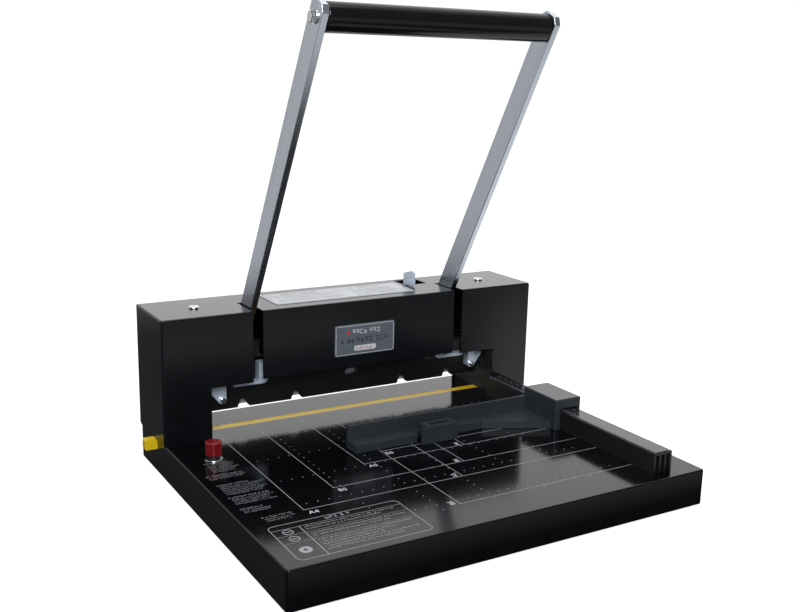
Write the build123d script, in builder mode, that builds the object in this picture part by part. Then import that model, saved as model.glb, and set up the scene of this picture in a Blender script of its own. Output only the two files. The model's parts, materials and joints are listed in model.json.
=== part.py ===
from build123d import *

import os
from math import cos, radians, sin

# A heavy guillotine paper cutter. A flat bed carries the paper; a black head stands across the
# bed's rear and holds the blade. Two flat arms with a roller grip swing forward and press the
# blade down onto a yellow cutting stick. A fence slides along a ruled rail at the right.
# Units are millimetres. X runs to the right, Y to the rear and Z up. The origin is the middle
# of the bed's footprint, on the surface that the feet stand on.

# ---------------------------------------------------------------- driving dimensions

# Bed
bed_width = 400.0
bed_depth = 338.0
skirt_height = 32.0
foot_proud = 2.0
bed_sheet = 1.6
bed_corner = 3.0

# Head: the black box that holds the blade
head_x = 0.8
head_width = 403.5
head_front = 94.6
head_top = 151.0
cover_wall = 2.0
throat_half = 156.5
throat_side_top = 83.5
throat_mid_top = 85.5
exit_half = 155.0
exit_top = 75.0

# Arms, as they lean at rest
arm_spread = 110.4
arm_width = 22.0
arm_thick = 6.0
arm_lean = 29.64
arm_reach = 357.3
arm_tip = 13.5
arm_slot_width = 10.2
arm_slot_rear = 134.5
pivot_y = 148.2
pivot_z = 97.0
pivot_radius = 5.0
bush_wall = 2.0
grip_radius = 12.0

# Drive: the arm turns one radian while the blade falls
swing = 1.0
crank_radius = 22.0
drive_pin_radius = 3.5

# Blade, carrier and clamp
cut_y = 126.3
groove_depth = 2.0
blade_thick = 4.0
blade_height = 38.0
blade_edge = 53.6
blade_rise = 0.6
blade_half = 154.5
bevel_height = 11.0
carrier_low = 68.0
carrier_high = 93.0
carrier_thick = 5.8
clamp_front = 119.5
clamp_rear = 125.5
clamp_low = 52.5
clamp_high = 94.0

# Cutting stick: the blade has worn a fine groove along it
stick_side = 9.4
stick_front = 119.05
stick_left = -211.5
stick_right = 157.7

# Rail and fence
rail_x = 150.0
rail_width = 20.5
rail_height = 18.8
rail_front = -157.0
fence_back = 21.3
fence_top = 55.5
fence_left = -55.5
foot_front = 2.0
foot_top = 41.7
block_left = 143.8
block_right = 174.3
block_front = -30.5
block_top = 64.4

# Thumb knob on the bed
knob_x = -171.9
knob_y = 47.9

# Lock lever on the head
lever_x = 75.0
lever_travel = 18.0

# Clearances, and how far a cut runs past the face that it opens
fit_gap = 0.05
slide_gap = 0.1
over = 1.0

# ---------------------------------------------------------------- derived positions

bed_top = foot_proud + skirt_height
bed_front = -bed_depth / 2
bed_rear = bed_depth / 2
frame_thick = 5.0
frame_in = throat_half
frame_out = frame_in + frame_thick
frame_top = head_top - cover_wall - fit_gap
frame_rear = bed_rear - cover_wall - fit_gap
arm_in = arm_spread - arm_thick / 2
arm_out = arm_spread + arm_thick / 2
lean = radians(arm_lean)
arm_along = Vector(0, -sin(lean), cos(lean))
grip_y = pivot_y + arm_reach * arm_along.Y
grip_z = pivot_z + arm_reach * arm_along.Z
drive_y = pivot_y - crank_radius * cos(swing / 2)
drive_z = pivot_z + crank_radius * sin(swing / 2)
drive_y_near = pivot_y - crank_radius
blade_back = cut_y + blade_thick
carrier_front = blade_back + fit_gap
carrier_back = carrier_front + carrier_thick
stick_rear = stick_front + stick_side
stick_top = bed_top - fit_gap
stick_low = stick_top - stick_side
slot_gap = 0.15
rail_top = bed_top + rail_height
rail_rear = head_front - fit_gap

os.makedirs("parts", exist_ok=True)


# ---------------------------------------------------------------- helpers

def finish(builder, label):
    """Name a finished piece and write it."""
    builder.part.label = label
    export_step(builder.part, f"parts/{label}.step")


def slab(x, y, z, mode=Mode.ADD):
    """A rectangular block between two values on each axis."""
    middle = [(low + high) / 2 for low, high in (x, y, z)]
    with Locations(tuple(middle)):
        return Box(x[1] - x[0], y[1] - y[0], z[1] - z[0], mode=mode)


def rod(middle, length, radius, turn, mode):
    """A round bar about its middle, turned from Z by the given rotation."""
    with Locations(middle):
        return Cylinder(radius, length, rotation=turn, mode=mode)


def rod_x(x, y, z, radius, mode=Mode.ADD):
    """A round bar along X between two X values."""
    return rod(((x[0] + x[1]) / 2, y, z), x[1] - x[0], radius, (0, 90, 0), mode)


def rod_y(x, y, z, radius, mode=Mode.ADD):
    """A round bar along Y between two Y values."""
    return rod((x, (y[0] + y[1]) / 2, z), y[1] - y[0], radius, (90, 0, 0), mode)


def rod_z(x, y, z, radius, mode=Mode.ADD):
    """A round bar along Z between two Z values."""
    return rod((x, y, (z[0] + z[1]) / 2), z[1] - z[0], radius, (0, 0, 0), mode)


def both_sides(inner, outer):
    """The X ranges, left then right of the head's middle, between two distances from it."""
    return [(head_x - outer, head_x - inner), (head_x + inner, head_x + outer)]


def arm_plane(x):
    """The sketch plane of an arm: local X runs up the arm and local Y to its front edge."""
    return Plane(origin=(x, pivot_y, pivot_z), x_dir=arm_along, z_dir=(1, 0, 0))


# ---------------------------------------------------------------- bed

frame_bolt_x = frame_out + 8.0
frame_bolts_at = [(head_x + side * frame_bolt_x, y) for side in (-1, 1) for y in (110.0, 154.0)]
frame_bolt_radius = 2.5
foot_at = [(x, y) for x in (-172.0, 172.0) for y in (-142.0, 142.0)] + [(0.0, 0.0)]
foot_radius = 9.0
foot_plug_radius = 4.0
rail_bolt_at = [(rail_x + rail_width / 2, y) for y in (-120.0, 60.0)]
rail_bolt_radius = 1.8
knob_thread_radius = 3.0
knob_hole_radius = 5.0
bed_edge = 1.5
hole_deep = 5.0

with BuildPart() as bed_tray:
    slab((-bed_width / 2, bed_width / 2), (bed_front, bed_rear), (foot_proud, bed_top))
    fillet(bed_tray.edges().filter_by(Axis.Z), bed_corner)
    fillet(bed_tray.faces().sort_by(Axis.Z)[-1].edges(), bed_edge)
    offset(amount=-bed_sheet, openings=bed_tray.faces().sort_by(Axis.Z)[0])
    slab((-bed_width / 2 - over, stick_right + slot_gap), (stick_front - slot_gap, stick_rear + slot_gap),
         (stick_low - slot_gap, bed_top + over), Mode.SUBTRACT)
    for x, y in frame_bolts_at:
        rod_z(x, y, (bed_top - hole_deep, bed_top + over), frame_bolt_radius + fit_gap, Mode.SUBTRACT)
    for x, y in rail_bolt_at:
        rod_z(x, y, (bed_top - hole_deep, bed_top + over), rail_bolt_radius + fit_gap, Mode.SUBTRACT)
    rod_z(knob_x, knob_y, (bed_top - hole_deep, bed_top + over), knob_hole_radius, Mode.SUBTRACT)
finish(bed_tray, "bed_tray")

plate_inset = bed_sheet + 0.2
plate_thick = 2.0
with BuildPart() as bottom_plate:
    slab((-bed_width / 2 + plate_inset, bed_width / 2 - plate_inset),
         (bed_front + plate_inset, bed_rear - plate_inset), (foot_proud, foot_proud + plate_thick))
    fillet(bottom_plate.edges().filter_by(Axis.Z), bed_corner - bed_sheet)
    for x, y in foot_at:
        rod_z(x, y, (0, foot_proud + plate_thick + over), foot_plug_radius + fit_gap, Mode.SUBTRACT)
finish(bottom_plate, "bottom_plate")

with BuildPart() as rubber_feet:
    for x, y in foot_at:
        rod_z(x, y, (0, foot_proud - fit_gap), foot_radius)
        rod_z(x, y, (foot_proud - fit_gap, foot_proud + 2 * plate_thick), foot_plug_radius)
finish(rubber_feet, "rubber_feet")

channel_wall = 1.6
channel_low = stick_low - slot_gap - channel_wall
channel_front = stick_front - slot_gap - channel_wall
channel_rear = stick_rear + slot_gap + channel_wall
with BuildPart() as stick_channel:
    slab((-bed_width / 2 + bed_sheet + fit_gap, stick_right + slot_gap + channel_wall),
         (channel_front, channel_rear), (channel_low, bed_top - bed_sheet - fit_gap))
    slab((-bed_width, stick_right + slot_gap), (stick_front - slot_gap, stick_rear + slot_gap),
         (stick_low - slot_gap, bed_top), Mode.SUBTRACT)
finish(stick_channel, "stick_channel")

stick_end_round = 1.2
groove_left = head_x - blade_half - 1.5
groove_y = (cut_y - 0.4, cut_y + 1.3)
with BuildPart() as cutting_stick:
    slab((stick_left, stick_right), (stick_front, stick_rear), (stick_low, stick_top))
    fillet(cutting_stick.faces().sort_by(Axis.X)[0].edges(), stick_end_round)
    slab((groove_left, stick_right + over), groove_y, (stick_top - groove_depth, stick_top + over),
         Mode.SUBTRACT)
finish(cutting_stick, "cutting_stick")

# ---------------------------------------------------------------- thumb knob

knob_washer_radius = 8.0
knob_washer_thick = 1.4
knob_washer_edge = 0.5
knob_washer_play = 0.3
knob_collar_radius = 5.6
knob_cap_radius = 7.2
knob_cap_high = 11.6
knob_cap_edge = 0.6
knob_ribs = 18
knob_rib_radius = 0.62
bush_radius = 8.0
bush_deep = 9.0
collar_low = bed_top + 2.0
cap_low = bed_top + 5.2
stem_top = bed_top + 9.0
with BuildPart() as knob_washer:
    rod_z(knob_x, knob_y, (bed_top + fit_gap, bed_top + knob_washer_thick), knob_washer_radius)
    fillet(knob_washer.edges().sort_by(Axis.Z)[-1], knob_washer_edge)
    rod_z(knob_x, knob_y, (bed_top, bed_top + 2 * knob_washer_thick),
          knob_thread_radius + knob_washer_play, Mode.SUBTRACT)
finish(knob_washer, "knob_washer")

sheet_low = bed_top - bed_sheet - fit_gap
with BuildPart() as knob_bush:
    rod_z(knob_x, knob_y, (sheet_low - bush_deep, sheet_low), bush_radius)
    rod_z(knob_x, knob_y, (sheet_low, bed_top), knob_hole_radius - slide_gap)
    rod_z(knob_x, knob_y, (sheet_low - 2 * bush_deep, bed_top + over), knob_thread_radius + fit_gap,
          Mode.SUBTRACT)
finish(knob_bush, "knob_bush")

with BuildPart() as knob_stem:
    rod_z(knob_x, knob_y, (bed_top - bush_deep, collar_low), knob_thread_radius)
    rod_z(knob_x, knob_y, (collar_low, cap_low), knob_collar_radius)
    rod_z(knob_x, knob_y, (cap_low, stem_top), knob_thread_radius)
finish(knob_stem, "knob_stem")

with BuildPart() as red_knob:
    with BuildSketch(Plane.XY.offset(cap_low + fit_gap)):
        with Locations((knob_x, knob_y)):
            Circle(knob_cap_radius)
            with PolarLocations(knob_cap_radius, knob_ribs):
                Circle(knob_rib_radius, mode=Mode.SUBTRACT)
    extrude(amount=knob_cap_high)
    chamfer(red_knob.faces().sort_by(Axis.Z)[-1].edges(), knob_cap_edge)
    rod_z(knob_x, knob_y, (cap_low, stem_top + fit_gap), knob_thread_radius + fit_gap, Mode.SUBTRACT)
finish(red_knob, "red_knob")

# ---------------------------------------------------------------- head frame

cover_screw_y = 131.0
rear_screw_z = (86.0, 118.0)
tie_bar_radius = 4.0
tie_bars_at = [(158.0, 138.0), (149.0, 77.0)]
frame_mid = frame_in + frame_thick / 2
flange_reach = 16.0
flange_y = (102.0, 162.0)
flange_top = bed_top + 4.0
frame_corner = 6.0
tapped_radius = 1.55
tapped_deep = 8.0
bolt_head_radius = 4.5
bolt_head_thick = 4.0
for side, (low, high) in zip(("left", "right"), both_sides(frame_in, frame_out)):
    outward = -1 if side == "left" else 1
    outer_face = low if side == "left" else high
    flange = sorted((outer_face, outer_face + outward * flange_reach))
    with BuildPart() as side_frame:
        slab((low, high), (head_front + cover_wall + over, frame_rear), (bed_top + fit_gap, frame_top))
        fillet(side_frame.edges().filter_by(Axis.X).sort_by(Axis.Z)[-2:], frame_corner)
        slab(flange, flange_y, (bed_top + fit_gap, flange_top))
        rod_x((low, high), pivot_y, pivot_z, pivot_radius + fit_gap, Mode.SUBTRACT)
        for y, z in tie_bars_at:
            rod_x((low, high), y, z, tie_bar_radius + fit_gap, Mode.SUBTRACT)
        for x, y in frame_bolts_at:
            rod_z(x, y, (bed_top, flange_top + over), frame_bolt_radius + fit_gap, Mode.SUBTRACT)
        rod_z(head_x + outward * frame_mid, cover_screw_y, (frame_top - tapped_deep, frame_top + over),
              tapped_radius, Mode.SUBTRACT)
        for z in rear_screw_z:
            rod_y(head_x + outward * frame_mid, (frame_rear - tapped_deep, frame_rear + over), z,
                  tapped_radius, Mode.SUBTRACT)
    finish(side_frame, f"{side}_side_frame")

with BuildPart() as frame_bolts:
    for x, y in frame_bolts_at:
        rod_z(x, y, (bed_top - hole_deep - over, flange_top + fit_gap), frame_bolt_radius)
        rod_z(x, y, (flange_top + fit_gap, flange_top + bolt_head_thick), bolt_head_radius)
finish(frame_bolts, "frame_bolts")

tie_bar_half = frame_out + 1.0
with BuildPart() as tie_bars:
    for y, z in tie_bars_at:
        rod_x((head_x - tie_bar_half, head_x + tie_bar_half), y, z, tie_bar_radius)
finish(tie_bars, "tie_bars")

shaft_half = frame_out + 6.0
shaft_edge = 0.6
with BuildPart() as pivot_shaft:
    rod_x((head_x - shaft_half, head_x + shaft_half), pivot_y, pivot_z, pivot_radius)
    chamfer(pivot_shaft.edges(), shaft_edge)
finish(pivot_shaft, "pivot_shaft")

ring_radius = 9.0
ring_from = frame_out + 0.5
ring_to = frame_out + 3.5
with BuildPart() as shaft_rings:
    for x in both_sides(ring_from, ring_to):
        rod_x(x, pivot_y, pivot_z, ring_radius)
        rod_x(x, pivot_y, pivot_z, pivot_radius + fit_gap, Mode.SUBTRACT)
finish(shaft_rings, "shaft_rings")

spring_coil = 8.2
spring_wire = 0.9
spring_turns = 5
spring_pitch = 2.1
spring_from = arm_out + 4.0
with BuildPart() as return_springs:
    for x_low, x_high in both_sides(spring_from, spring_from + spring_turns * spring_pitch):
        with BuildLine() as coil_path:
            Helix(spring_pitch, x_high - x_low, spring_coil, (x_low, pivot_y, pivot_z), (1, 0, 0))
        with BuildSketch(Plane(coil_path.line @ 0, z_dir=coil_path.line % 0)):
            Circle(spring_wire)
        sweep(path=coil_path.line)
finish(return_springs, "return_springs")

guide_reach = 5.0
guide_reach_front = 2.2
guide_gap = 0.2
guide_z = (62.0, 138.0)
guide_rear_y = (carrier_back + guide_gap, carrier_back + 5.0)
guide_front_y = (clamp_front - 6.0 - guide_gap, clamp_front - guide_gap)
with BuildPart() as blade_guides:
    for x in both_sides(frame_in - guide_reach, frame_in - fit_gap):
        slab(x, guide_rear_y, guide_z)
    for x in both_sides(frame_in - guide_reach_front, frame_in - fit_gap):
        slab(x, guide_front_y, guide_z)
finish(blade_guides, "blade_guides")

# ---------------------------------------------------------------- head covers

cover_half = head_width / 2
arm_slot_half = arm_slot_width / 2
cover_corner = 2.5
cover_edge = 1.8
rear_corner = 1.5
screw_hole_radius = 1.8
lever_slot = ((lever_x - 1.5, lever_x + lever_travel + 6.5), (138.5, 164.0))
with BuildPart() as front_cover:
    slab((head_x - cover_half, head_x + cover_half), (head_front, frame_rear), (bed_top + fit_gap, head_top))
    fillet(front_cover.edges().filter_by(Axis.Z).sort_by(Axis.Y)[:2], cover_corner)
    fillet(front_cover.faces().sort_by(Axis.Z)[-1].edges().filter_by(Axis.X).sort_by(Axis.Y)[0], cover_edge)
    slab((head_x - cover_half + cover_wall, head_x + cover_half - cover_wall),
         (head_front + cover_wall, bed_rear), (0, head_top - cover_wall), Mode.SUBTRACT)
    slab((head_x - throat_half, head_x + throat_half), (head_front - over, head_front + cover_wall + over),
         (bed_top, throat_side_top), Mode.SUBTRACT)
    slab((head_x - arm_spread, head_x + arm_spread), (head_front - over, head_front + cover_wall + over),
         (bed_top, throat_mid_top), Mode.SUBTRACT)
    for x in both_sides(arm_spread - arm_slot_half, arm_spread + arm_slot_half):
        slab(x, (head_front - over, arm_slot_rear), (throat_side_top - over, head_top + over), Mode.SUBTRACT)
    slab(lever_slot[0], lever_slot[1], (head_top - cover_wall - over, head_top + over), Mode.SUBTRACT)
    for side in (-1, 1):
        rod_z(head_x + side * frame_mid, cover_screw_y, (head_top - 2 * cover_wall, head_top + over),
              screw_hole_radius, Mode.SUBTRACT)
finish(front_cover, "front_cover")

with BuildPart() as rear_cover:
    slab((head_x - cover_half, head_x + cover_half), (bed_rear - cover_wall, bed_rear),
         (bed_top + fit_gap, head_top))
    fillet(rear_cover.edges().filter_by(Axis.Y), rear_corner)
    slab((head_x - exit_half, head_x + exit_half), (bed_rear - cover_wall - over, bed_rear + over),
         (bed_top, exit_top), Mode.SUBTRACT)
    for side in (-1, 1):
        for z in rear_screw_z:
            rod_y(head_x + side * frame_mid, (bed_rear - 2 * cover_wall, bed_rear + over), z,
                  screw_hole_radius, Mode.SUBTRACT)
finish(rear_cover, "rear_cover")

screw_radius = 1.5
screw_deep = 8.0
screw_head_radius = 4.8
screw_head_high = 1.9
screw_head_edge = 1.2
cross_long = 4.6
cross_wide = 1.1
with BuildPart() as cover_screws:
    for side in (-1, 1):
        x = head_x + side * frame_mid
        rod_z(x, cover_screw_y, (head_top + fit_gap, head_top + screw_head_high), screw_head_radius)
    fillet(cover_screws.faces().sort_by(Axis.Z)[-2:].edges(), screw_head_edge)
    for side in (-1, 1):
        x = head_x + side * frame_mid
        rod_z(x, cover_screw_y, (head_top - screw_deep, head_top + fit_gap), screw_radius)
        with Locations((x, cover_screw_y, head_top + screw_head_high)):
            Box(cross_wide, cross_long, screw_head_high, mode=Mode.SUBTRACT)
            Box(cross_long, cross_wide, screw_head_high, mode=Mode.SUBTRACT)
finish(cover_screws, "cover_screws")

rear_head_radius = 3.4
rear_head_high = 2.2
rear_cross_long = 3.6
rear_cross_wide = 0.9
with BuildPart() as rear_cover_screws:
    for side in (-1, 1):
        for z in rear_screw_z:
            x = head_x + side * frame_mid
            rod_y(x, (bed_rear - screw_deep, bed_rear + fit_gap), z, screw_radius)
            rod_y(x, (bed_rear + fit_gap, bed_rear + rear_head_high), z, rear_head_radius)
            with Locations((x, bed_rear + rear_head_high, z)):
                Box(rear_cross_wide, rear_head_high, rear_cross_long, mode=Mode.SUBTRACT)
                Box(rear_cross_long, rear_head_high, rear_cross_wide, mode=Mode.SUBTRACT)
finish(rear_cover_screws, "rear_cover_screws")

badge_x = (-31.0, 35.0)
badge_z = (97.2, 128.0)
badge_thick = 1.3
badge_corner = 1.5
badge_edge = 0.5
label_x = (-84.0, 68.0)
label_y = (110.0, 155.0)
label_thick = 0.5
label_corner = 3.0
with BuildPart() as badge_plate:
    slab(badge_x, (head_front - badge_thick, head_front - fit_gap), badge_z)
    fillet(badge_plate.edges().filter_by(Axis.Y), badge_corner)
    fillet(badge_plate.faces().sort_by(Axis.Y)[0].edges(), badge_edge)
finish(badge_plate, "badge_plate")

with BuildPart() as top_label:
    slab(label_x, label_y, (head_top + fit_gap, head_top + label_thick))
    fillet(top_label.edges().filter_by(Axis.Z), label_corner)
finish(top_label, "top_label")

# ---------------------------------------------------------------- lock lever

# The slide plate hangs under the head's top. Its finger tab stands up through the slot, and its
# hook moves over the right arm when the arm is down, so that the handle stays down.
plate_under = head_top - cover_wall - 5.5
plate_over = plate_under + 2.5
plate_x = (lever_x - 4.0, lever_x + 14.0)
plate_y = (104.0, 163.0)
tab_thick = 2.5
tab_front = 125.5
tab_nose = 3.0
tab_under = head_top + 0.6
tab_low = head_top + 2.0
tab_rear_top = head_top + 12.0
tab_front_top = head_top + 15.0
tab_peak = head_top + 17.0
stem_front = 139.5
stem_rear = 145.5
hook_x = (plate_x[1] - 3.0, plate_x[1])
hook_reach = 10.0
hook_y = (plate_y[0], plate_y[0] + 10.0)
hook_low = 112.0
hook_thick = 4.0
with BuildPart() as lock_lever:
    with BuildSketch(Plane.YZ.offset(lever_x)):
        with BuildLine():
            Polyline((stem_front, plate_under), (stem_rear, plate_under), (stem_rear, tab_rear_top),
                     (tab_front + tab_nose, tab_peak), (tab_front, tab_front_top), (tab_front, tab_low),
                     (tab_front + tab_nose, tab_under), (stem_front, tab_under), close=True)
        make_face()
    extrude(amount=tab_thick)
    slab(plate_x, plate_y, (plate_under, plate_over))
    slab(hook_x, hook_y, (hook_low, plate_over))
    slab((hook_x[0], hook_x[1] + hook_reach), hook_y, (hook_low, hook_low + hook_thick))
finish(lock_lever, "lock_lever")

guide_post = 3.0
cradle_left = plate_x[0] - guide_post - 1.0
cradle_right = plate_x[1] + lever_travel + guide_post + 1.0
cradle_y = (144.0, 153.0)
cradle_low = plate_under - 2.7
cradle_high = head_top - cover_wall - fit_gap
with BuildPart() as lock_guide:
    slab((cradle_left, cradle_right), cradle_y, (cradle_low, plate_under - slide_gap))
    slab((cradle_left, cradle_left + guide_post), cradle_y, (cradle_low, cradle_high))
    slab((cradle_right - guide_post, cradle_right), cradle_y, (cradle_low, cradle_high))
finish(lock_guide, "lock_guide")

# ---------------------------------------------------------------- arms and grip

lobe_along = crank_radius * (cos(swing / 2) * sin(lean) + sin(swing / 2) * cos(lean))
lobe_front = crank_radius * (cos(swing / 2) * cos(lean) - sin(swing / 2) * sin(lean))
grip_pin_radius = 4.0
lobe_radius = 7.5
tip_cut = 5.0
tip_round = 2.0
arm_edge = 0.6
pin_gap = 0.02
for side, (low, high) in zip(("left", "right"), both_sides(arm_in, arm_out)):
    with BuildPart() as arm:
        with BuildSketch(arm_plane(low)):
            with Locations(((arm_reach + arm_tip) / 2, 0)):
                Rectangle(arm_reach + arm_tip, arm_width)
            Circle(arm_width / 2)
            with Locations((lobe_along, lobe_front)):
                Circle(lobe_radius)
            with Locations((lobe_along, 0)):
                Rectangle(2 * lobe_radius, arm_width)
        extrude(amount=arm_thick)
        tip = arm.edges().filter_by(Axis.X).sort_by(Axis.Z)[-2:]
        chamfer(tip, tip_cut)
        fillet(arm.edges().filter_by(Axis.X).sort_by(Axis.Z)[-4:], tip_round)
        fillet(arm.faces().filter_by(Axis.X).edges(), arm_edge)
        with BuildSketch(arm_plane(low)):
            Circle(pivot_radius + bush_wall)
            with Locations((lobe_along, lobe_front)):
                Circle(drive_pin_radius)
            with Locations((arm_reach, 0)):
                Circle(grip_pin_radius)
        extrude(amount=arm_thick, mode=Mode.SUBTRACT)
    finish(arm, f"{side}_arm")

bush_proud = 1.5
with BuildPart() as arm_bushes:
    for x_low, x_high in both_sides(arm_in, arm_out):
        length = (x_low - bush_proud, x_high + bush_proud)
        rod_x(length, pivot_y, pivot_z, pivot_radius + bush_wall - fit_gap / 2)
        rod_x(length, pivot_y, pivot_z, pivot_radius + fit_gap, Mode.SUBTRACT)
finish(arm_bushes, "arm_bushes")

drive_pin_reach = 8.5
with BuildPart() as drive_pins:
    for x_low, x_high in both_sides(arm_in - drive_pin_reach, arm_out):
        rod_x((x_low, x_high), drive_y, drive_z, drive_pin_radius - pin_gap)
finish(drive_pins, "drive_pins")

with BuildPart() as grip_shaft:
    rod_x((head_x - arm_out, head_x + arm_out), grip_y, grip_z, grip_pin_radius - pin_gap)
finish(grip_shaft, "grip_shaft")

bolt_flats = 9.4
bolt_washer_radius = 5.8
bolt_washer_thick = 1.0
bolt_head_high = 3.2
bolt_head_edge = 0.7
with BuildPart() as arm_bolts:
    for side in (-1, 1):
        face = head_x + side * arm_out
        washer_at = face + min(0, side * bolt_washer_thick)
        head_at = face + min(side * bolt_washer_thick, side * (bolt_washer_thick + bolt_head_high))
        with BuildSketch(arm_plane(washer_at)):
            with Locations((arm_reach, 0)):
                Circle(bolt_washer_radius)
        extrude(amount=bolt_washer_thick)
        with BuildSketch(arm_plane(head_at)):
            with Locations((arm_reach, 0)):
                RegularPolygon(bolt_flats / 2, 6, major_radius=False)
        extrude(amount=bolt_head_high)
    chamfer(arm_bolts.faces().sort_by(Axis.X)[0].edges(), bolt_head_edge)
    chamfer(arm_bolts.faces().sort_by(Axis.X)[-1].edges(), bolt_head_edge)
finish(arm_bolts, "arm_bolts")

roller_half = arm_in - 0.6
roller_edge = 2.0
roller_gap = 0.06
with BuildPart() as roller_grip:
    rod_x((head_x - roller_half, head_x + roller_half), grip_y, grip_z, grip_radius)
    fillet(roller_grip.edges(), roller_edge)
    rod_x((head_x - roller_half, head_x + roller_half), grip_y, grip_z, grip_pin_radius + roller_gap,
          Mode.SUBTRACT)
finish(roller_grip, "roller_grip")

# ---------------------------------------------------------------- blade and carrier

blade_tilt_x = 2 * blade_half
blade_bolt_step = 60.0
blade_bolt_at = [head_x + step * blade_bolt_step for step in (-2, -1, 0, 1, 2)]
blade_bolt_z = 80.0
blade_bolt_radius = 2.5
blade_bolt_hole = blade_bolt_radius + 0.1
blade_bolt_head = 4.5
blade_bolt_high = 3.6
blade_bolt_sunk = 0.4
with BuildPart() as carrier_bar:
    slab((head_x - blade_half, head_x + blade_half), (carrier_front, carrier_back),
         (carrier_low, carrier_high))
    for x in blade_bolt_at:
        rod_y(x, (carrier_front - over, carrier_back + over), blade_bolt_z, blade_bolt_hole, Mode.SUBTRACT)
finish(carrier_bar, "carrier_bar")

edge_plane = Plane(origin=(head_x - blade_half, cut_y, blade_edge), x_dir=(0, 1, 0),
                   z_dir=(blade_tilt_x, 0, blade_rise))
with BuildPart() as blade:
    with BuildSketch(edge_plane):
        with BuildLine():
            Polyline((0, 0), (0, blade_height), (blade_thick, blade_height),
                     (blade_thick, bevel_height), close=True)
        make_face()
    extrude(amount=blade_tilt_x)
    for x in blade_bolt_at:
        rod_y(x, (cut_y - over, blade_back + over), blade_bolt_z, blade_bolt_hole, Mode.SUBTRACT)
finish(blade, "blade")

with BuildPart() as blade_bolts:
    for x in blade_bolt_at:
        rod_y(x, (cut_y + blade_bolt_sunk, carrier_back + fit_gap), blade_bolt_z, blade_bolt_radius)
        rod_y(x, (carrier_back + fit_gap, carrier_back + blade_bolt_high), blade_bolt_z, blade_bolt_head)
finish(blade_bolts, "blade_bolts")

yoke_slot_half = drive_pin_radius + 0.4
yoke_slot_end = 4.2
yoke_from = arm_in - 8.0
yoke_to = arm_in - 1.0
yoke_low = clamp_high + 6.6
yoke_top = drive_z + 9.0
yoke_front = drive_y_near - 7.5
with BuildPart() as drive_yokes:
    for x in both_sides(yoke_from, yoke_to):
        slab(x, (yoke_front, carrier_back), (yoke_low, yoke_top))
        slab(x, (carrier_front, carrier_back), (carrier_high + fit_gap, yoke_low))
        slab(x, (drive_y_near - yoke_slot_end, drive_y + yoke_slot_end),
             (drive_z - yoke_slot_half, drive_z + yoke_slot_half), Mode.SUBTRACT)
finish(drive_yokes, "drive_yokes")

spring_x = 62.0
seat_half = 6.0
seat_front = 107.0
seat_z = 109.5
seat_top = seat_z + 3.0
with BuildPart() as spring_seats:
    for x in both_sides(spring_x - seat_half, spring_x + seat_half):
        slab(x, (carrier_front, carrier_back), (carrier_high + fit_gap, seat_top))
        slab(x, (seat_front, carrier_back), (seat_z, seat_top))
finish(spring_seats, "spring_seats")

# ---------------------------------------------------------------- paper clamp

clamp_half = 153.5
sight_hole_z = 72.6
sight_hole_long = 14.4
sight_hole_high = 7.0
flange_half = 76.0
flange_front = 107.0
flange_thick = 3.0
notch_at = [head_x + side * away for side in (-1, 1) for away in (60.0, 115.6)]
notch_low = clamp_low - 0.1
notch_top = clamp_low + 8.0
notch_half = 6.2
notch_top_left = -3.4
notch_top_right = 0.6
with BuildPart() as clamp_bar:
    slab((head_x - clamp_half, head_x + clamp_half), (clamp_front, clamp_rear), (clamp_low, clamp_high))
    slab((head_x - flange_half, head_x + flange_half), (flange_front, clamp_front),
         (clamp_high - flange_thick, clamp_high))
    for x in notch_at:
        with BuildSketch(Plane.XZ.offset(-clamp_rear - over)):
            with BuildLine():
                Polyline((x - notch_half, notch_low), (x + notch_top_left, notch_top),
                         (x + notch_top_right, notch_top), (x + notch_half, notch_low), close=True)
            make_face()
        extrude(amount=clamp_rear - clamp_front + 2 * over, mode=Mode.SUBTRACT)
    with BuildSketch(Plane.XZ.offset(-clamp_rear - over)):
        with Locations((head_x, sight_hole_z)):
            SlotOverall(sight_hole_long, sight_hole_high)
    extrude(amount=clamp_rear - clamp_front + 2 * over, mode=Mode.SUBTRACT)
finish(clamp_bar, "clamp_bar")

# Each bracket narrows from the clamp's end down to a round tip, where its bolt sits.
bracket_in = 136.2
bracket_out = clamp_half - 1.0
bracket_front = 111.0
bracket_top = 82.0
bracket_outer_low = 74.0
bracket_tip_radius = 4.0
bracket_tip_z = 65.0
bracket_tangent = (7.0, 62.4)
bracket_bolt_radius = 2.9
bracket_bolt_front = 107.4
bracket_bolt_edge = 0.7
with BuildPart() as clamp_end_brackets:
    for side in (-1, 1):
        inner = head_x + side * bracket_in
        outer = head_x + side * bracket_out
        with BuildSketch(Plane.XZ.offset(fit_gap - clamp_front)):
            with BuildLine():
                Polyline((outer, bracket_top), (inner, bracket_top), (inner, bracket_tip_z),
                         (inner + side * bracket_tangent[0], bracket_tangent[1]),
                         (outer, bracket_outer_low), close=True)
            make_face()
            with Locations((inner + side * bracket_tip_radius, bracket_tip_z)):
                Circle(bracket_tip_radius)
        extrude(amount=clamp_front - fit_gap - bracket_front)
finish(clamp_end_brackets, "clamp_end_brackets")

with BuildPart() as clamp_bracket_bolts:
    for side in (-1, 1):
        x = head_x + side * (bracket_in + bracket_tip_radius)
        rod_y(x, (bracket_bolt_front, bracket_front - fit_gap), bracket_tip_z, bracket_bolt_radius)
    fillet(clamp_bracket_bolts.faces().filter_by(Axis.Y).sort_by(Axis.Y)[:2].edges(), bracket_bolt_edge)
finish(clamp_bracket_bolts, "clamp_bracket_bolts")

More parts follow.
